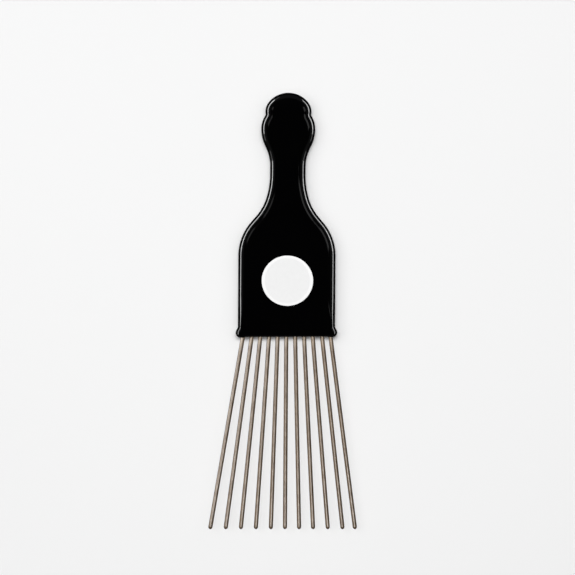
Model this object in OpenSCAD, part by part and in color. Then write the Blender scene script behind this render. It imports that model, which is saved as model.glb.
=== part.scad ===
// Afro pick: a moulded plastic handle that holds a fan of round steel wires.
// It lies on its back. +Y runs to the head of the handle, the tines point to -Y,
// +Z is up, and the origin is under the middle of the whole pick.
// The handle is drawn from its base line, where the tines come out.

/* [Handle body] */
// Width of the body between its straight sides
body_w = 46.1; // [43:0.1:58]
// Height above the base line at which the sides begin to curve in
body_h = 38.5; // [30:0.1:60]
// Thickness of the handle
handle_t = 10; // [9.4:0.1:14]
// Width of the rounded edge, seen from the front
edge_w = 5; // [3:0.1:5.6]
// Height of the rounded edge on each side of the parting band
edge_h = 3.2; // [2.5:0.1:4.6]

/* [Shoulders and neck] */
// Radius of the shoulders
shoulder_r = 24.2; // [12:0.1:30]
// Lean of the straight slope above the shoulders
shoulder_lean = 40.5; // [34:0.5:50]
// Radius of the tight curve where the slope turns into the neck
throat_r = 24.3; // [10:0.1:30]
// Lean at which the tight curve gives way to the long one
throat_lean = 16; // [8:0.5:30]
// Radius of the long curve into the neck
neck_r = 39.2; // [20:0.1:50]
// Width of the neck
neck_w = 16.8; // [13:0.1:20]
// Length of the straight part of the neck
neck_h = 3.9; // [0.5:0.1:30]

/* [Head] */
// Radius of the curve from the neck into the head
head_root_r = 19.6; // [8:0.1:24]
// Lean of the head's lower flanks
head_lean = 24; // [20:0.5:32]
// Radius of the bulge below its widest line
bulge_low_r = 17.4; // [8:0.1:22]
// Radius of the bulge above its widest line
bulge_up_r = 11.8; // [9:0.1:14]
// Width of the bulge
bulge_w = 25.6; // [24:0.1:32]
// Height of the cap's widest line above the bulge's
cap_rise = 8.3; // [7:0.1:10]
// Width of the cap
cap_w = 21.8; // [19:0.1:23]
// Radius of the cap's sides
cap_r = 7; // [6:0.1:8]
// Height of the cap above its widest line
cap_h = 8.9; // [8.5:0.1:12]
// Radius at the bottom of the notch between the cap and the bulge
notch_r = 1.4; // [0.4:0.1:2]

/* [Ears at the base] */
// How far each rounded ear stands out from the side of the body
ear_proud = 1.05; // [0.9:0.05:8]
// Radius of each ear
ear_r = 2.3; // [2:0.1:3.5]
// Lean of the flare between the side and the ear
flare_lean = 29; // [24:0.5:34]
// Radius of the corner where the flare leaves the side
flare_root_r = 1; // [0.4:0.1:1.5]
// How far each ear hangs below the base line
ear_hang = 0.25; // [0.1:0.05:0.5]
// Width of the level foot between each ear's round and the step up to the base line
foot_w = 1.8; // [0.5:0.1:2.5]
// Width of that step
foot_step_w = 0.7; // [0.3:0.1:1]
// Height above the flare over which the rounded edge reaches its full width
edge_fade = 15; // [5:0.1:16]
// Radius of the edges round the base
base_edge = 1.2; // [0.6:0.1:1.8]
// Lean of the base line, which rises a little to the right
base_lean = 0.9; // [0:0.1:2]
// How far the base stands to the right of the head
base_shift = 0.15; // [0:0.05:0.5]

/* [Tines] */
// Number of tines
tine_count = 11; // [5:1:11]
// Diameter of the wire
wire_d = 2; // [1.6:0.05:2.4]
// Spacing of the tines at the base line
root_pitch = 4.15; // [3.4:0.05:4.2]
// Spacing of the tines at their tips
tip_pitch = 6.87; // [4.5:0.01:7.5]
// Distance from the base line to the row of tips, at the middle
tine_len = 91.4; // [50:0.1:120]
// Lean of the row of tips, which makes the left tines a little longer
tip_row_lean = 0.6; // [0:0.1:2]
// Length of the rounded tip
tip_len = 1.3; // [0.9:0.1:2.4]
// Length of wire held in the handle
grip_len = 20; // [14:0.5:30]
// Width of each anchor groove round the held wire
groove_w = 1.6; // [1:0.1:2]
// Depth of each anchor groove
groove_depth = 0.3; // [0.15:0.05:0.45]
// Spacing of the anchor grooves
groove_pitch = 4; // [3:0.1:5]
// Chamfer on the held end of the wire
end_chamfer = 0.3; // [0.1:0.05:0.5]
// Gap between the wire and the moulding round it
fit_gap = 0.03; // [0.01:0.01:0.08]

/* [Hidden] */

// Degrees that one facet of a rounded outline turns through
facet_turn = 6;
// Steps in the rounded edge and in a tine's tip
edge_steps = 6;
tip_steps = 8;
// Steps in the side where the rounded edge widens
fade_steps = 5;
// Grooves on each wire
groove_count = 2;
// How much of an ear's radius its rounded edge takes
ear_edge_share = 0.9;
// How much of the straight side the widening edge may take
fade_share = 0.9;
// How far each wire stands off its even place, as shares of the pitch at the root and at the tip
root_sway_shares = [0.07, 0.07, 0.05, 0.05, 0.03, 0.02, 0.04, 0.06, 0.05, 0.12, 0.09];
tip_sway_shares = [-0.12, -0.05, 0, 0.04, 0.08, 0.06, 0.04, 0.01, 0.03, 0.05, -0.09];
// Distance that a cut runs past the face it opens
overrun = 1;
wire_facets = 48;

wire_r = wire_d / 2;
side_x = body_w / 2;
neck_x = neck_w / 2;

// The slope between the body and the neck: an arc, a straight, and two arcs back.
// Its radii shrink together where the step in width is too small for them.
neck_step = side_x - neck_x;
slope_need = shoulder_r * (1 - cos(shoulder_lean))
    + throat_r * (cos(throat_lean) - cos(shoulder_lean))
    + neck_r * (1 - cos(throat_lean));
slope_fit = min(1, neck_step / slope_need);
slope_run = (neck_step - slope_fit * slope_need) / sin(shoulder_lean);
shoulder_c = [side_x - slope_fit * shoulder_r, body_h];
slope_foot = on_circle(shoulder_c, slope_fit * shoulder_r, shoulder_lean);
throat_c = along(slope_foot, shoulder_lean + 90, slope_run) + slope_fit * throat_r * unit(shoulder_lean);
neck_c = throat_c + slope_fit * (neck_r - throat_r) * unit(throat_lean);

// The head's flank: an arc out of the neck, a straight, and the lower arc of the bulge.
bulge_step = bulge_w / 2 - neck_x;
flank_need = (head_root_r + bulge_low_r) * (1 - cos(head_lean));
flank_fit = min(1, bulge_step / flank_need);
flank_run = (bulge_step - flank_fit * flank_need) / sin(head_lean);
head_root_c = [neck_x + flank_fit * head_root_r, neck_c[1] + neck_h];
flank_foot = on_circle(head_root_c, flank_fit * head_root_r, 180 - head_lean);
bulge_low_c = along(flank_foot, 90 - head_lean, flank_run) - flank_fit * bulge_low_r * unit(-head_lean);
bulge_up_c = [bulge_w / 2 - bulge_up_r, bulge_low_c[1]];

// The cap: a small arc at each side and one large arc over the top, with a notch below.
cap_c = [cap_w / 2 - cap_r, bulge_up_c[1] + cap_rise];
crown_r = (cap_c[0] ^ 2 + cap_h ^ 2 - cap_r ^ 2) / (2 * (cap_h - cap_r));
crown_c = [0, cap_c[1] + cap_h - crown_r];
notch_c = circles_meet(bulge_up_c, bulge_up_r + notch_r, cap_c, cap_r + notch_r);
handle_len = cap_c[1] + cap_h;

// The ears: a level foot, a circle, and a straight flare up to the side.
ear_c = [side_x + ear_proud - ear_r, ear_r - ear_hang];
foot_x = ear_c[0] - foot_w;
base_end_x = foot_x - foot_step_w;
flare_run = (ear_proud - (ear_r + flare_root_r) * (1 - cos(flare_lean))) / sin(flare_lean);
flare_root_c = along(ear_c + (ear_r + flare_root_r) * unit(flare_lean), flare_lean + 90, flare_run);

fade_run = min(edge_fade, fade_share * (body_h - flare_root_c[1]));
ear_edge_w = ear_edge_share * ear_r;
mid_z = handle_t / 2;
centre_y = (handle_len - tine_reach(1)) / 2;

function unit(turn) = [cos(turn), sin(turn)];
function on_circle(c, r, turn) = c + r * unit(turn);
function along(p, turn, run) = p + run * unit(turn);
function heading(v) = atan2(v[1], v[0]);

// The point right of the line a-b that lies ra from a and rb from b
function circles_meet(a, ra, b, rb) =
    let (gap = norm(b - a), ahead = (ra ^ 2 - rb ^ 2 + gap ^ 2) / (2 * gap), off = sqrt(ra ^ 2 - ahead ^ 2))
    a + ahead * (b - a) / gap + off * [b[1] - a[1], a[0] - b[0]] / gap;

// Stations along an arc: each is [x, y, and the outward normal's x and y].
// A hollow arc has its centre outside the handle. first = 1 leaves out the point
// that the arc before it has already given.
function arc(c, r, turn0, turn1, hollow = false, first = 0) =
    let (
        steps = max(2, ceil(abs(turn1 - turn0) / facet_turn)),
        facing = hollow ? -1 : 1
    )
    [for (k = [first:steps])
        let (turn = turn0 + (turn1 - turn0) * k / steps, p = on_circle(c, r, turn))
        [p[0], p[1], facing * cos(turn), facing * sin(turn)]];

// Stations up the straight side, where the rounded edge widens to its full size
function side_fade() =
    [for (k = [1:fade_steps]) [side_x, flare_root_c[1] + fade_run * k / fade_steps, 1, 0]];

function right_half() =
    let (
        notch_turn = heading(notch_c - bulge_up_c),
        cap_turn = heading(notch_c - cap_c),
        crown_turn = heading(cap_c - crown_c)
    )
    concat(
        [[base_end_x, 0, 0, -1], [foot_x, -ear_hang, 0, -1]],
        arc(ear_c, ear_r, -90, flare_lean),
        arc(flare_root_c, flare_root_r, 180 + flare_lean, 180, hollow = true),
        side_fade(),
        arc(shoulder_c, slope_fit * shoulder_r, 0, shoulder_lean),
        arc(throat_c, slope_fit * throat_r, 180 + shoulder_lean, 180 + throat_lean, hollow = true),
        arc(neck_c, slope_fit * neck_r, 180 + throat_lean, 180, hollow = true, first = 1),
        arc(head_root_c, flank_fit * head_root_r, 180, 180 - head_lean, hollow = true),
        arc(bulge_low_c, flank_fit * bulge_low_r, -head_lean, 0),
        arc(bulge_up_c, bulge_up_r, 0, notch_turn, first = 1),
        arc(notch_c, notch_r, 180 + notch_turn, 180 + cap_turn, hollow = true, first = 1),
        arc(cap_c, cap_r, cap_turn, crown_turn, first = 1),
        arc(crown_c, crown_r, crown_turn, 90, first = 1)
    );

// The whole outline, counter-clockwise from the right end of the base
function outline() =
    let (half = right_half(), last = len(half) - 1)
    concat(half, [for (k = [last - 1:-1:0]) [-half[k][0], half[k][1], -half[k][2], half[k][3]]]);

// Width and height of the rounded edge at a station: full size along the sides,
// narrow round the ears, and small along the base
function edge_size(s) =
    s[3] < 0 && s[1] < ear_r
        ? blend([ear_edge_w, edge_h], [base_edge, base_edge], -s[3])
        : blend([ear_edge_w, edge_h], [edge_w, edge_h], (s[1] - flare_root_c[1]) / fade_run);
function blend(a, b, share) =
    let (t = max(0, min(1, share)))
    a + (b - a) * (1 - cos(180 * t)) / 2;

// One closed ring of the edge, from the parting band (step 0) to a flat face (edge_steps)
function ring(stations, step, up) =
    let (turn = 90 * step / edge_steps)
    [for (s = stations)
        let (
            size = edge_size(s),
            inset = size[0] * (1 - cos(turn)),
            rise = mid_z - size[1] * (1 - sin(turn))
        )
        leaned([s[0] - s[2] * inset, s[1] - s[3] * inset, mid_z + up * rise])];

// Leans and shifts the base line and leaves the shoulders where they are
function leaned(p) =
    let (low = max(0, 1 - p[1] / body_h))
    [p[0] + base_shift * low, p[1] + p[0] * tan(base_lean) * low, p[2]];

// The handle without its bores: flat front and back, joined by edges that are
// rounded down to the parting band. Each flat face is a fan over each ear's lower
// half, and above them a row of trapezoids between a station and its mirror image.
module handle_blank() {
    stations = outline();
    count = len(stations);
    rings = concat(
        [for (step = [edge_steps:-1:0]) ring(stations, step, -1)],
        [for (step = [0:edge_steps]) ring(stations, step, 1)]
    );
    top = len(rings) - 1;
    apex = (count - 1) / 2;
    last = count - 1;
    ear_top = len([for (s = right_half()) if (s[1] <= ear_c[1]) s]);
    strips = concat(
        [for (k = [1:ear_top - 1]) each [[0, k, k + 1], [last, last - k - 1, last - k]]],
        [[0, ear_top, last - ear_top, last]],
        [for (k = [ear_top:apex - 2]) [k, k + 1, last - k - 1, last - k]],
        [[apex - 1, apex, apex + 1]]
    );
    polyhedron(
        points = [for (r = rings) each r],
        faces = concat(
            strips,
            [for (j = [0:top - 1]) for (k = [0:count - 1])
                let (n = (k + 1) % count)
                [j * count + k, (j + 1) * count + k, (j + 1) * count + n, j * count + n]],
            [for (s = strips) [for (k = [len(s) - 1:-1:0]) top * count + s[k]]]
        )
    );
}

module handle() {
    color("#141416")
        translate([0, -centre_y, 0])
            difference() {
                handle_blank();
                for (i = [1:tine_count]) at_tine(i) tine_cavity();
            }
}

function tine_name(i) = str(i < 10 ? "tine_0" : "tine_", i);
function tine_place(i) = i - (tine_count + 1) / 2;
function root_x(i) = root_pitch * (tine_place(i) + root_sway_shares[i - 1]);
function tip_x(i) = tip_pitch * (tine_place(i) + tip_sway_shares[i - 1]);
function tine_reach(i) = tine_len - tip_x(i) * tan(tip_row_lean);
function tine_lean(i) = atan((tip_x(i) - root_x(i)) / tine_reach(i));

// Puts a wire that is drawn along +Z, from the base line to its tip, in its place
module at_tine(i) {
    translate([root_x(i), 0, mid_z])
        rotate([0, 0, tine_lean(i)])
            rotate([90, 0, 0])
                children();
}

// Radius and height points of the held end, with its chamfer and anchor grooves
function held_points(gap) = concat(
    [[0, -grip_len - gap],
     [wire_r - end_chamfer + gap, -grip_len - gap],
     [wire_r + gap, -grip_len + end_chamfer]],
    [for (k = [1:groove_count]) each groove_points(-grip_len + k * groove_pitch, gap)]
);
function groove_points(z, gap) = [
    [wire_r + gap, z - groove_w / 2],
    [wire_r + gap - groove_depth, z - groove_w / 2 + groove_depth],
    [wire_r + gap - groove_depth, z + groove_w / 2 - groove_depth],
    [wire_r + gap, z + groove_w / 2]
];

// The blunt tip, rounded like a bullet
function tip_points(len) = [
    for (k = [0:tip_steps])
        let (turn = 90 * k / tip_steps)
        [k == tip_steps ? 0 : wire_r * cos(turn), len - tip_len * (1 - sin(turn))]
];

module tine_wire(len) {
    rotate_extrude($fn = wire_facets)
        polygon(concat(held_points(0), tip_points(len)));
}

module tine_cavity() {
    rotate_extrude($fn = wire_facets)
        polygon(concat(held_points(fit_gap), [[wire_r + fit_gap, overrun], [0, overrun]]));
}

module tine(i) {
    color("#a89c8c")
        translate([0, -centre_y, 0])
            at_tine(i)
                tine_wire(tine_reach(i) / cos(tine_lean(i)));
}

handle();
for (i = [1:tine_count])
    tine(i);
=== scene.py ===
import math

import bmesh
import bpy
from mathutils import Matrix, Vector

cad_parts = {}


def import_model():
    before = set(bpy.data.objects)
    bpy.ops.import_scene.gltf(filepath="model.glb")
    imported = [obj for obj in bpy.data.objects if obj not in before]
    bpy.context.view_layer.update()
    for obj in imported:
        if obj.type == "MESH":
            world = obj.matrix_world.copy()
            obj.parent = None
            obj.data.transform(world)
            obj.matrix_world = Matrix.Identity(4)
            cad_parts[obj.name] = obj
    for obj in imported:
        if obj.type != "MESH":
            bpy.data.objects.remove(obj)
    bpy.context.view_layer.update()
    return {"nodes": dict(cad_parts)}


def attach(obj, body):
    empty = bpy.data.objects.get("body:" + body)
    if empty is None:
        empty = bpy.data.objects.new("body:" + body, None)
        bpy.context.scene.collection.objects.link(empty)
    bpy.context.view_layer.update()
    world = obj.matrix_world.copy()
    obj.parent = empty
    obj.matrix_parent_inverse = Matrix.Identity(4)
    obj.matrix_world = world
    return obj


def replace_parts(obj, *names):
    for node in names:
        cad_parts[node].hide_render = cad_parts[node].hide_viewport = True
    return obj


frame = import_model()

# The afro pick lies on its back on a pale floor. Sizes are in millimetres, as in the part's
# source, and become metres where a mesh is made. +Y runs to the head of the handle.
MM = 0.001

# The handle's outline, from the base line up
BODY_W, BODY_H, HANDLE_T = 46.1, 38.5, 10
EDGE_W, EDGE_H = 5, 3.2
SHOULDER_R, SHOULDER_LEAN = 24.2, 40.5
THROAT_R, THROAT_LEAN = 24.3, 16
NECK_R, NECK_W, NECK_H = 39.2, 16.8, 3.9
HEAD_ROOT_R, HEAD_LEAN = 19.6, 24
BULGE_LOW_R, BULGE_UP_R, BULGE_W = 17.4, 11.8, 25.6
CAP_RISE, CAP_W, CAP_R, CAP_H = 8.3, 21.8, 7, 8.9
NOTCH_R = 1.4
EAR_PROUD, EAR_R, EAR_EDGE_SHARE = 1.05, 2.3, 0.9
FLARE_LEAN, FLARE_ROOT_R = 29, 1
EAR_HANG, FOOT_W, FOOT_STEP_W = 0.25, 1.8, 0.7
EDGE_FADE, BASE_EDGE = 15, 1.2
BASE_LEAN, BASE_SHIFT = 0.9, 0.15

# The tines. A sway is how far one is off its even place, as a share of the spacing.
TINE_COUNT, TINE_LEN, TIP_ROW_LEAN = 11, 91.4, 0.6
ROOT_PITCH, TIP_PITCH = 4.15, 6.87
ROOT_SWAY_SHARES = [0.07, 0.07, 0.05, 0.05, 0.03, 0.02, 0.04, 0.06, 0.05, 0.12, 0.09]
TIP_SWAY_SHARES = [-0.12, -0.05, 0, 0.04, 0.08, 0.06, 0.04, 0.01, 0.03, 0.05, -0.09]

# The printed disc: its size and place, and the small waves of its edge as (count, height)
DISC_RADII, DISC_AT = (12.19, 11.91), (0.34, 14.58)
DISC_RINGS, DISC_SIDES, DISC_SOFT = 10, 180, 0.08
DISC_WAVES = [(7, 0.012), (19, 0.008), (43, 0.006)]
INK_T = 0.03
INK_BEVEL_SHARE, INK_SUNK_SHARE = 0.7, 2

# How finely the handle's skin is drawn
TURN_STEP = 1.5
EDGE_STEPS = 24
FADE_STEPS = 20

# The photograph: its size and scale, and where the middle of the pick lies in it, in pixels
PHOTO_W = 575
MM_PER_PX = 0.475
MIDDLE_PX = (286.36, 311.44)

# The camera: its roll in degrees, its height and sensor, and its clip range in metres
ROLL = 0.6
CAMERA_UP = 2500
SENSOR = 36
CLIP_M = (0.1, 20)

# Colours
FACE_DARK, FACE_PALE = (0.0006, 0.0006, 0.0008, 1), (0.0018, 0.0018, 0.002, 1)
FACE_RUBBED = (0.006, 0.006, 0.0062, 1)
INK_DULL, INK_PLAIN, INK_FULL = (0.78, 0.78, 0.78, 1), (0.84, 0.84, 0.84, 1), (0.9, 0.9, 0.9, 1)
INK_PIT = (0.35, 0.35, 0.35, 1)
WIRE_BROWN, WIRE_PALE = (0.265, 0.195, 0.134, 1), (0.49, 0.397, 0.305, 1)
# Where a wire leaves the handle its colour turns to a painted highlight, and at its tip to painted
# shade
WIRE_ROOT_HIGHLIGHT, WIRE_TIP_SHADE = (0.75, 0.63, 0.49, 1), (0.2, 0.12, 0.062, 1)
WIRE_LACQUER, WIRE_EDGE = (1, 0.93, 0.84, 1), (0.1, 0.04, 0.01, 1)
FLOOR_DULL, FLOOR_PALE = (0.80, 0.80, 0.80, 1), (0.82, 0.82, 0.82, 1)
FLOOR_GLOW, FLOOR_IN_GLOSS = (0.085, 0.085, 0.085, 1), (0.01, 0.01, 0.01, 1)
ROOM_SEEN, ROOM_DIM = (0.86, 0.86, 0.86, 1), (0.004, 0.004, 0.004, 1)

# Surface detail. Heights and widths are in millimetres. Two limits say where a mark starts
# and where it is full.
NOISE_MIDDLE = (0.3, 0.7)
WAVE_HIGH, GRAIN_HIGH = 0.02, 0.0006
PARTING_LIMITS, PARTING_HIGH = (0.02, 0.09), 0.04
FACE_ROUGH, PLASTIC_IOR = (0.06, 0.11), 1.46
RUB_LIMITS, RUB_TURN, RUB_COLOUR, RUB_ROUGH = (0.62, 0.78), 35, 0.35, 0.06
WEAR_LIMITS, WEAR_ROUGH = (0.505, 0.56), 0.04
INK_HIGH, INK_ROUGH = 0.004, (0.38, 0.52)
INK_RIM_FROM, INK_RIM_FULL = 1.6, 0.7
PIT_LIMITS, PIT_COLOUR = (0.74, 0.8), 0.5
DRAWN_HIGH, PATCH_HIGH = 0.02, 0.01
BROWN_LIMITS, WIRE_ROUGH = (0.38, 0.62), (0.5, 0.64)
# The last of these turns the lacquer's gloss down within the painted shade at a wire's tip
LACQUER_LIMITS, LACQUER_WORN, LACQUER_IN_TIP_SHADE = (0.35, 0.6), 0.7, 0.25
LACQUER_ROUGH, LACQUER_IOR, WIRE_METAL = 0.16, 2.2, 0.9
# How far the painted highlight at a wire's root and the painted shade at its tip reach along it
ROOT_HIGHLIGHT_REACH, TIP_SHADE_REACH = 7, 1.3

# Lights. Angles are in degrees: azimuth 0 is at the right, 90 at the head, and a spread is a
# width and height as seen from the pick. Brightness is the radiance of the light's face.
FAR, NEAR = 1500, 800

# Rows of strips at both sides draw the lines of light along the handle's edge. The ends are
# degrees from straight right or straight left, towards the head.
STRIP_ENDS = [-13, 0, 9, 21, 33, 45, 57, 69]
STRIP_HIGH, STRIP_ELEVATION = 10, 15
STRIP_RADIANCES = {"left": [2, 14, 16.5, 15.5, 14, 17, 0.8], "right": [2, 10.5, 15, 15, 12, 10]}

# A faint ring all round keeps the edge from being black beside its line of light
RING_AZIMUTHS, RING_ELEVATION, RING_SPREAD, RING_RADIANCE = [0, 90, 180, 270], 28, (80, 36), 0.09

# The other lights, each as name: (azimuth, elevation, spread, radiance, distance)
HANDLE_LIGHTS = {
    "band_left": (150, 59, (10, 10), 0.6, FAR),
    "band_right": (27, 59, (16, 12), 0.8, FAR),
}
FLOOR_LIGHTS = {
    "key": (142, 74, (24, 24), 1.3, FAR),
    "fill": (90, 88, (110, 110), 0.08, FAR),
}
# These light the floor too, but only the handle casts a shadow in them
SHADE_LIGHTS = {
    "shade_base": (90, 80, (24, 11), 17, FAR),
    "shade_gap": (92, 83, (8, 9), 36, FAR),
    "shade_right": (165, 60, (40, 30), 1.6, FAR),
    "shade_left": (15, 60, (40, 30), 0.9, FAR),
}
PRINT_LIGHTS = {
    "print_light": (90, 80, (110, 110), 1.5, FAR),
}
WIRE_LIGHTS = {
    "wire_left": (164, 27, (32, 50), 2.5, NEAR),
    "wire_right": (36, 26, (28, 52), 0.8, NEAR),
    "wire_top": (120, 86, (28, 28), 2.05, FAR),
    "wire_head": (90, 27, (70, 28), 0.8, FAR),
    "wire_tips": (-90, 27, (70, 28), 0.8, FAR),
    "wire_low": (-90, 77, (44, 9), 2.6, NEAR),
}

# The floor, and how far it lies below the pick
FLOOR_SIDE, FLOOR_GAP = 8000, 0.05


# The handle's outline

def unit(turn):
    return Vector((math.cos(math.radians(turn)), math.sin(math.radians(turn))))


def arc(centre, radius, turn0, turn1, hollow=False, first=0):
    """Stations along an arc: points and outward normals. A hollow arc has its centre outside."""
    steps = max(2, math.ceil(abs(turn1 - turn0) / TURN_STEP))
    turns = [turn0 + (turn1 - turn0) * k / steps for k in range(first, steps + 1)]
    return [(centre + radius * unit(t), (-1 if hollow else 1) * unit(t)) for t in turns]


def circles_meet(a, ra, b, rb):
    """The point right of the line a-b that lies ra from a and rb from b."""
    gap = (b - a).length
    ahead = (ra**2 - rb**2 + gap**2) / (2 * gap)
    off = math.sqrt(ra**2 - ahead**2)
    return a + ahead * (b - a) / gap + off * Vector((b.y - a.y, a.x - b.x)) / gap


def heading(v):
    return math.degrees(math.atan2(v.y, v.x))


def ears():
    """The ear with its foot and flare, and the side above, where the edge reaches its full width."""
    side_x = BODY_W / 2
    ear = Vector((side_x + EAR_PROUD - EAR_R, EAR_R - EAR_HANG))
    foot = Vector((ear.x - FOOT_W, -EAR_HANG))
    base_end = Vector((foot.x - FOOT_STEP_W, 0))
    run = (EAR_PROUD - (EAR_R + FLARE_ROOT_R) * (1 - unit(FLARE_LEAN).x)) / unit(FLARE_LEAN).y
    root = ear + (EAR_R + FLARE_ROOT_R) * unit(FLARE_LEAN) + run * unit(FLARE_LEAN + 90)
    fade = [(Vector((side_x, root.y + EDGE_FADE * k / FADE_STEPS)), unit(0))
            for k in range(1, FADE_STEPS + 1)]
    stations = ([(base_end, unit(-90)), (foot, unit(-90))]
                + arc(ear, EAR_R, -90, FLARE_LEAN)
                + arc(root, FLARE_ROOT_R, 180 + FLARE_LEAN, 180, hollow=True) + fade)
    return stations, root.y


def body():
    """The shoulder and the two hollow arcs into the neck."""
    side_x, neck_x = BODY_W / 2, NECK_W / 2
    lean, throat_lean = unit(SHOULDER_LEAN), unit(THROAT_LEAN)
    need = (SHOULDER_R * (1 - lean.x) + THROAT_R * (throat_lean.x - lean.x)
            + NECK_R * (1 - throat_lean.x))
    run = (side_x - neck_x - need) / lean.y
    shoulder = Vector((side_x - SHOULDER_R, BODY_H))
    foot = shoulder + SHOULDER_R * lean
    throat = foot + run * unit(SHOULDER_LEAN + 90) + THROAT_R * lean
    neck = throat + (NECK_R - THROAT_R) * throat_lean
    stations = (arc(shoulder, SHOULDER_R, 0, SHOULDER_LEAN)
                + arc(throat, THROAT_R, 180 + SHOULDER_LEAN, 180 + THROAT_LEAN, hollow=True)
                + arc(neck, NECK_R, 180 + THROAT_LEAN, 180, hollow=True, first=1))
    return stations, neck.y


def head(neck_y):
    """The flank, the bulge, the notch and the cap."""
    neck_x, lean = NECK_W / 2, unit(HEAD_LEAN)
    need = (HEAD_ROOT_R + BULGE_LOW_R) * (1 - lean.x)
    run = (BULGE_W / 2 - neck_x - need) / lean.y
    root = Vector((neck_x + HEAD_ROOT_R, neck_y + NECK_H))
    foot = root + HEAD_ROOT_R * unit(180 - HEAD_LEAN)
    low = foot + run * unit(90 - HEAD_LEAN) - BULGE_LOW_R * unit(-HEAD_LEAN)
    up = Vector((BULGE_W / 2 - BULGE_UP_R, low.y))
    cap = Vector((CAP_W / 2 - CAP_R, up.y + CAP_RISE))
    crown_r = (cap.x**2 + CAP_H**2 - CAP_R**2) / (2 * (CAP_H - CAP_R))
    crown = Vector((0, cap.y + CAP_H - crown_r))
    notch = circles_meet(up, BULGE_UP_R + NOTCH_R, cap, CAP_R + NOTCH_R)
    notch_turn, cap_turn = heading(notch - up), heading(notch - cap)
    crown_turn = heading(cap - crown)
    stations = (arc(root, HEAD_ROOT_R, 180, 180 - HEAD_LEAN, hollow=True)
                + arc(low, BULGE_LOW_R, -HEAD_LEAN, 0)
                + arc(up, BULGE_UP_R, 0, notch_turn, first=1)
                + arc(notch, NOTCH_R, 180 + notch_turn, 180 + cap_turn, hollow=True, first=1)
                + arc(cap, CAP_R, cap_turn, crown_turn, first=1)
                + arc(crown, crown_r, crown_turn, 90, first=1))
    return stations, cap.y + CAP_H


def centre_y():
    """How far the base line lies below the middle of the whole pick."""
    return (outline()[1] - tine_reach(1)) / 2


def tine_place(number):
    return number - (TINE_COUNT + 1) / 2


def root_x(number):
    return ROOT_PITCH * (tine_place(number) + ROOT_SWAY_SHARES[number - 1])


def tip_x(number):
    return TIP_PITCH * (tine_place(number) + TIP_SWAY_SHARES[number - 1])


def tine_reach(number):
    return TINE_LEN - tip_x(number) * math.tan(math.radians(TIP_ROW_LEAN))


def outline():
    """All stations counter-clockwise, the handle's length, and the height of the flare."""
    low, flare_y = ears()
    middle, neck_y = body()
    top, length = head(neck_y)
    half = low + middle + top
    mirrored = [(Vector((-p.x, p.y)), Vector((-n.x, n.y))) for p, n in reversed(half[:-1])]
    return half + mirrored, length, flare_y


def blend(a, b, share):
    t = (1 - math.cos(math.pi * max(0, min(1, share)))) / 2
    return a[0] + (b[0] - a[0]) * t, a[1] + (b[1] - a[1]) * t


def edge_size(point, normal, flare_y):
    """Width and height of the rounded edge at a station."""
    ear_edge = (EAR_EDGE_SHARE * EAR_R, EDGE_H)
    if normal.y < 0 and point.y < EAR_R:
        return blend(ear_edge, (BASE_EDGE, BASE_EDGE), -normal.y)
    return blend(ear_edge, (EDGE_W, EDGE_H), (point.y - flare_y) / EDGE_FADE)


# Pieces

def leaned(at):
    """A point once the base line leans and shifts. The shoulders stay where they are."""
    low = max(0, 1 - at.y / BODY_H)
    return at + low * Vector((BASE_SHIFT, at.x * math.tan(math.radians(BASE_LEAN))))


def linked(name, data):
    """A new object of the scene with this data."""
    made = bpy.data.objects.new(name, data)
    bpy.context.scene.collection.objects.link(made)
    return made


def mesh_of(name, bm, material):
    mesh = bpy.data.meshes.new(name)
    bm.to_mesh(mesh)
    bm.free()
    mesh.materials.append(material)
    return mesh


def new_piece(name, bm, material):
    """Makes a smooth mesh object from a bmesh in millimetres, riding the pick's one body."""
    bmesh.ops.recalc_face_normals(bm, faces=bm.faces)
    bmesh.ops.scale(bm, vec=Vector((MM, MM, MM)), verts=bm.verts)
    mesh = mesh_of(name, bm, material)
    mesh.polygons.foreach_set("use_smooth", [True] * len(mesh.polygons))
    piece = linked(name, mesh)
    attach(piece, "root")
    return piece


def bridge(bm, low, high):
    """Joins two closed rings of vertices with four-sided faces."""
    for k in range(len(low)):
        n = (k + 1) % len(low)
        bm.faces.new((low[k], low[n], high[n], high[k]))


def handle_skin(material):
    """A finer skin of the handle, from the same outline and edge as its solid. Its face lies
    lower by one film of ink, so that the disc on it stays inside the solid's box."""
    stations, _, flare_y = outline()
    base_y = -centre_y()
    low_z, high_z = 0, HANDLE_T - INK_T
    sizes = [edge_size(p, n, flare_y) for p, n in stations]
    bm = bmesh.new()

    def ring(step, up):
        turn = math.pi / 2 * step / EDGE_STEPS
        face_z = high_z if up > 0 else low_z
        verts = []
        for (p, n), (width, height) in zip(stations, sizes):
            at = leaned(p - n * width * (1 - math.cos(turn)))
            z = face_z - up * height * (1 - math.sin(turn))
            verts.append(bm.verts.new((at.x, at.y + base_y, z)))
        return verts

    lower = [ring(step, -1) for step in range(EDGE_STEPS, -1, -1)]
    upper = [ring(step, 1) for step in range(EDGE_STEPS + 1)]
    rings = lower + upper
    for a, b in zip(rings, rings[1:]):
        bridge(bm, a, b)
    # Each flat face is closed by fans over the ears, then by strips from side to side.
    last, apex = len(stations) - 1, (len(stations) - 1) // 2
    ear_top = sum(p.y <= EAR_R - EAR_HANG for p, _ in stations[:apex])
    for face in (rings[0], rings[-1]):
        for k in range(1, ear_top):
            bm.faces.new((face[0], face[k], face[k + 1]))
            bm.faces.new((face[last], face[last - k - 1], face[last - k]))
        bm.faces.new((face[0], face[ear_top], face[last - ear_top], face[last]))
        for k in range(ear_top, apex - 1):
            bm.faces.new((face[k], face[k + 1], face[last - k - 1], face[last - k]))
        bm.faces.new((face[apex - 1], face[apex], face[apex + 1]))
    skin = new_piece("handle_skin", bm, material)
    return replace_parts(skin, "handle")


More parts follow.
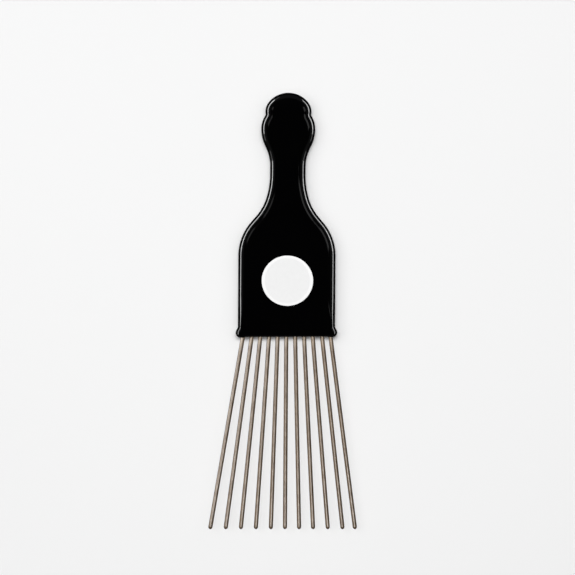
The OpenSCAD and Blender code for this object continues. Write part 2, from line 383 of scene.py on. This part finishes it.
def printed_disc(material):
    """The white disc printed on the front: a film of ink whose edge is a little uneven."""
    levels = [(j / DISC_RINGS, 0, HANDLE_T) for j in range(1, DISC_RINGS)]
    levels += [(1, DISC_SOFT, HANDLE_T)]
    levels += [(1, 0, HANDLE_T - share * INK_T) for share in (INK_BEVEL_SHARE, INK_SUNK_SHARE)]
    bm = bmesh.new()
    middle = bm.verts.new((*DISC_AT, HANDLE_T))
    circles = []
    for share, inset, z in levels:
        circle = []
        for k in range(DISC_SIDES):
            turn = 2 * math.pi * k / DISC_SIDES
            wave = sum(high * math.sin(count * turn + count) for count, high in DISC_WAVES) - inset
            ahead = unit(math.degrees(turn))
            off = [(share * radius + wave) * part for radius, part in zip(DISC_RADII, ahead)]
            at = Vector(DISC_AT) + Vector(off)
            circle.append(bm.verts.new((at.x, at.y, z)))
        circles.append(circle)
    for k in range(DISC_SIDES):
        bm.faces.new((middle, circles[0][k], circles[0][(k + 1) % DISC_SIDES]))
    for a, b in zip(circles, circles[1:]):
        bridge(bm, a, b)
    return new_piece("printed_disc", bm, material)


# Materials

class Shader:
    """A material's node tree, with short calls for the nodes that it is made of."""

    def __init__(self, name):
        self.material = bpy.data.materials.new(name)
        self.material.use_nodes = True
        self.tree = self.material.node_tree
        self.bsdf = self.tree.nodes["Principled BSDF"]

    def node(self, kind, **inputs):
        made = self.tree.nodes.new(kind)
        for key, value in inputs.items():
            self.put(made.inputs[key.replace("_", " ")], value)
        return made

    def put(self, socket, value):
        if isinstance(value, bpy.types.NodeSocket):
            self.tree.links.new(value, socket)
        else:
            socket.default_value = value

    def place(self):
        """Object coordinates, which are metres in the pick's own frame."""
        return self.node("ShaderNodeTexCoord").outputs["Object"]

    def mapped(self, vector, scale=(1, 1, 1), turn=0):
        made = self.node("ShaderNodeMapping", Vector=vector, Scale=scale)
        made.inputs["Rotation"].default_value = (0, 0, math.radians(turn))
        return made.outputs["Vector"]

    def noise(self, vector, scale, detail=3, roughness=0.5):
        return self.node("ShaderNodeTexNoise", Vector=vector, Scale=scale, Detail=detail,
                         Roughness=roughness).outputs["Fac"]

    def remap(self, value, low, high, to_low=0, to_high=1):
        made = self.node("ShaderNodeMapRange")
        made.interpolation_type = "SMOOTHSTEP"
        for k, v in enumerate((value, low, high, to_low, to_high)):
            self.put(made.inputs[k], v)
        return made.outputs["Result"]

    def math(self, operation, a, b=0.0):
        made = self.node("ShaderNodeMath")
        made.operation = operation
        self.put(made.inputs[0], a)
        self.put(made.inputs[1], b)
        return made.outputs[0]

    def mix(self, share, a, b):
        made = self.node("ShaderNodeMix")
        made.data_type = "RGBA"
        for name, v in (("Factor_Float", share), ("A_Color", a), ("B_Color", b)):
            socket = next(x for x in made.inputs if x.identifier == name)
            self.put(socket, v)
        return next(x for x in made.outputs if x.identifier == "Result_Color")

    def axis(self, vector, name):
        return self.node("ShaderNodeSeparateXYZ", Vector=vector).outputs[name]

    def bump(self, height, distance, strength=1.0, under=None):
        made = self.node("ShaderNodeBump", Height=height, Distance=distance, Strength=strength)
        if under is not None:
            self.put(made.inputs["Normal"], under)
        return made.outputs["Normal"]

    def finish(self, **inputs):
        for key, value in inputs.items():
            self.put(self.bsdf.inputs[key.replace("_", " ")], value)
        return self.material


def black_plastic():
    """Polished moulded plastic: faint waves, fine rub marks and the parting line."""
    s = Shader("black_plastic")
    at = s.place()
    cloud = s.noise(at, scale=45, detail=4)
    grain = s.noise(at, scale=1400, detail=2)
    along = s.mapped(at, scale=(1, 9, 1), turn=RUB_TURN)
    rubs = s.noise(along, scale=420, detail=5, roughness=0.7)
    rubbed = s.remap(rubs, *RUB_LIMITS)
    worn = s.remap(s.node("ShaderNodeNewGeometry").outputs["Pointiness"], *WEAR_LIMITS)
    rough = s.remap(cloud, *NOISE_MIDDLE, *FACE_ROUGH)
    rough = s.math("ADD", rough, s.math("MULTIPLY", rubbed, RUB_ROUGH))
    rough = s.math("ADD", rough, s.math("MULTIPLY", worn, WEAR_ROUGH))
    off_mid = s.math("ABSOLUTE", s.math("SUBTRACT", s.axis(at, "Z"), HANDLE_T / 2 * MM))
    parting = s.remap(off_mid, *(limit * MM for limit in PARTING_LIMITS), 1, 0)
    normal = s.bump(s.noise(at, scale=130, detail=1), WAVE_HIGH * MM)
    normal = s.bump(grain, GRAIN_HIGH * MM, under=normal)
    normal = s.bump(parting, PARTING_HIGH * MM, under=normal)
    colour = s.mix(cloud, FACE_DARK, FACE_PALE)
    colour = s.mix(s.math("MULTIPLY", rubbed, RUB_COLOUR), colour, FACE_RUBBED)
    return s.finish(Base_Color=colour, Roughness=rough, Normal=normal, IOR=PLASTIC_IOR)


def white_ink():
    """Pad-printed ink: faintly mottled, with a fuller line at its rim and a few pinholes."""
    s = Shader("white_ink")
    at = s.place()
    mottle = s.noise(at, scale=520, detail=4)
    offset = s.node("ShaderNodeVectorMath", Vector=at)
    offset.inputs[1].default_value = (DISC_AT[0] * MM, DISC_AT[1] * MM, HANDLE_T * MM)
    offset.operation = "SUBTRACT"
    far = s.node("ShaderNodeVectorMath", Vector=offset.outputs[0])
    far.operation = "LENGTH"
    rim_from, rim_full = (DISC_RADII[1] - inset for inset in (INK_RIM_FROM, INK_RIM_FULL))
    rim = s.remap(far.outputs["Value"], rim_from * MM, rim_full * MM)
    pits = s.remap(s.noise(at, scale=2600, detail=1), *PIT_LIMITS)
    colour = s.mix(mottle, INK_DULL, INK_PLAIN)
    colour = s.mix(rim, colour, INK_FULL)
    colour = s.mix(s.math("MULTIPLY", pits, PIT_COLOUR), colour, INK_PIT)
    normal = s.bump(mottle, INK_HIGH * MM)
    rough = s.remap(mottle, *NOISE_MIDDLE, *INK_ROUGH)
    return s.finish(Base_Color=colour, Roughness=rough, Normal=normal)


def drawn_wire(number):
    """Lacquered drawn wire: lines along it and brown patches, a painted highlight where it
    leaves the handle, and painted shade at its tip, where the lacquer's gloss fades too."""
    s = Shader(f"drawn_wire_{number:02d}")
    lean = math.degrees(math.atan((tip_x(number) - root_x(number)) / tine_reach(number)))
    at = s.mapped(s.place(), turn=-lean)
    lines = s.noise(s.mapped(at, scale=(40, 1, 40)), scale=160, detail=4, roughness=0.6)
    patches = s.noise(s.mapped(at, scale=(2.5, 1, 2.5)), scale=260, detail=4, roughness=0.65)
    both = s.math("ADD", s.math("MULTIPLY", lines, 0.5), s.math("MULTIPLY", patches, 0.5))
    colour = s.mix(s.remap(both, *BROWN_LIMITS), WIRE_BROWN, WIRE_PALE)
    along = s.math("MULTIPLY", s.axis(s.place(), "Y"), 1 / MM)
    base = -centre_y()
    # Painted highlight: the colour turns pale over the last millimetres before the handle, for light
    # caught where the wire leaves it
    root_highlight = s.remap(along, base - ROOT_HIGHLIGHT_REACH, base)
    colour = s.mix(root_highlight, colour, WIRE_ROOT_HIGHLIGHT)
    end = base - tine_reach(number)
    # Painted shade: the colour turns dark at the rounded tip, and the lacquer's gloss fades there,
    # for the shade on the end
    tip_shade = s.remap(along, end + TIP_SHADE_REACH / 4, end + TIP_SHADE_REACH, 1, 0)
    colour = s.mix(tip_shade, colour, WIRE_TIP_SHADE)
    normal = s.bump(lines, DRAWN_HIGH * MM)
    normal = s.bump(patches, PATCH_HIGH * MM, under=normal)
    rough = s.remap(patches, *NOISE_MIDDLE, *WIRE_ROUGH)
    lacquer = s.remap(patches, *LACQUER_LIMITS, LACQUER_WORN, 1)
    lacquer = s.math("MULTIPLY", lacquer, s.remap(tip_shade, 0, 1, 1, LACQUER_IN_TIP_SHADE))
    return s.finish(Base_Color=colour, Roughness=rough, Normal=normal, Metallic=WIRE_METAL,
                    Specular_Tint=WIRE_EDGE, Coat_Weight=lacquer, Coat_Roughness=LACQUER_ROUGH,
                    Coat_IOR=LACQUER_IOR, Coat_Tint=WIRE_LACQUER, Coat_Normal=normal)


def pale_floor():
    """Matt and pale, with a faint glow that fills the shadows. Gloss sees it dark, as black
    cards beside a product make it."""
    s = Shader("pale_floor")
    tone = s.noise(s.place(), scale=3, detail=2)
    colour = s.mix(tone, FLOOR_DULL, FLOOR_PALE)
    in_gloss = s.node("ShaderNodeLightPath").outputs["Is Glossy Ray"]
    colour = s.mix(in_gloss, colour, FLOOR_IN_GLOSS)
    glow = s.mix(in_gloss, FLOOR_GLOW, FLOOR_IN_GLOSS)
    return s.finish(Base_Color=colour, Roughness=0.9, Specular_IOR_Level=0.0,
                    Emission_Color=glow, Emission_Strength=1.0)


# The room

def floor():
    bm = bmesh.new()
    half = FLOOR_SIDE / 2
    corners = [(-half, -half), (half, -half), (half, half), (-half, half)]
    bm.faces.new([bm.verts.new((x * MM, y * MM, -FLOOR_GAP * MM)) for x, y in corners])
    made = linked("floor", mesh_of("floor", bm, pale_floor()))
    return made


def group(name, things):
    """A collection that lights are linked to, as what they reach or what blocks them."""
    made = bpy.data.collections.new(name)
    for thing in things:
        made.objects.link(thing)
    return made


def softbox(name, azimuth, elevation, spread, radiance, away, receivers, blockers=None):
    """A rectangular light that faces the pick, and lights the receivers alone. Where there are
    blockers, nothing else casts a shadow in it."""
    a, e = math.radians(azimuth), math.radians(elevation)
    at = Vector((math.cos(a) * math.cos(e), math.sin(a) * math.cos(e), math.sin(e))) * away * MM
    width, height = (2 * away * MM * math.tan(math.radians(d) / 2) for d in spread)
    data = bpy.data.lights.new(name, "AREA")
    data.shape = "RECTANGLE"
    data.size, data.size_y = width, height
    data.energy = radiance * math.pi * width * height
    made = linked(name, data)
    made.location = at
    made.rotation_mode = "QUATERNION"
    made.rotation_quaternion = at.to_track_quat("Z", "Y")
    made.visible_camera = False
    made.light_linking.receiver_collection = receivers
    made.light_linking.blocker_collection = blockers


def lights(skin, disc, tines, ground):
    """Each surface has lights of its own, set against the photograph one by one."""
    on_handle = group("lit_handle", [skin])
    on_wires = group("lit_wires", tines)
    on_floor = group("lit_floor", [ground])
    on_print = group("lit_print", [disc])
    for side, radiances in STRIP_RADIANCES.items():
        for start, end, radiance in zip(STRIP_ENDS, STRIP_ENDS[1:], radiances):
            azimuth = (start + end) / 2
            turn = azimuth if side == "right" else 180 - azimuth
            spread = (end - start, STRIP_HIGH)
            softbox(f"strip_{side}", turn, STRIP_ELEVATION, spread, radiance, NEAR, on_handle)
    for azimuth in RING_AZIMUTHS:
        softbox("ring", azimuth, RING_ELEVATION, RING_SPREAD, RING_RADIANCE, FAR, on_handle)
    tables = [(HANDLE_LIGHTS, on_handle, None), (FLOOR_LIGHTS, on_floor, None),
              (SHADE_LIGHTS, on_floor, on_handle), (PRINT_LIGHTS, on_print, None),
              (WIRE_LIGHTS, on_wires, None)]
    for table, receivers, blockers in tables:
        for name, placing in table.items():
            softbox(name, *placing, receivers, blockers)


def world():
    """Pale behind the floor, and dark in reflections, as in a blacked-out studio."""
    made = bpy.data.worlds.new("studio")
    made.use_nodes = True
    tree = made.node_tree
    seen, dim = tree.nodes["Background"], tree.nodes.new("ShaderNodeBackground")
    seen.inputs["Color"].default_value = ROOM_SEEN
    dim.inputs["Color"].default_value = ROOM_DIM
    mix, path = tree.nodes.new("ShaderNodeMixShader"), tree.nodes.new("ShaderNodeLightPath")
    tree.links.new(path.outputs["Is Camera Ray"], mix.inputs[0])
    tree.links.new(dim.outputs[0], mix.inputs[1])
    tree.links.new(seen.outputs[0], mix.inputs[2])
    tree.links.new(mix.outputs[0], tree.nodes["World Output"].inputs["Surface"])
    bpy.context.scene.world = made


def camera():
    """Straight above the pick, turned and shifted as the photograph's frame is."""
    data = bpy.data.cameras.new("camera")
    view_w = PHOTO_W * MM_PER_PX
    height = CAMERA_UP + HANDLE_T / 2
    data.sensor_width = SENSOR
    data.lens = SENSOR * CAMERA_UP / view_w
    data.clip_start, data.clip_end = CLIP_M
    made = linked("camera", data)
    roll = math.radians(ROLL)
    right, up = Vector((math.cos(roll), math.sin(roll))), Vector((-math.sin(roll), math.cos(roll)))
    off = [(PHOTO_W / 2 - MIDDLE_PX[0]) * MM_PER_PX, (MIDDLE_PX[1] - PHOTO_W / 2) * MM_PER_PX]
    at = right * off[0] + up * off[1]
    made.location = Vector((at.x, at.y, height)) * MM
    made.rotation_euler = (0, 0, roll)
    bpy.context.scene.camera = made


# The scene

def dressed_tine(number):
    """The CAD tine, which keeps its shape and gets the wire's material."""
    tine = frame["nodes"][f"tine_{number:02d}"]
    for slot in tine.material_slots:
        slot.material = drawn_wire(number)
    return tine


def main():
    view = bpy.context.scene.view_settings
    view.view_transform = "Standard"
    view.look = "None"
    skin = handle_skin(black_plastic())
    disc = printed_disc(white_ink())
    tines = [dressed_tine(number) for number in range(1, TINE_COUNT + 1)]
    lights(skin, disc, tines, floor())
    world()
    camera()


main()
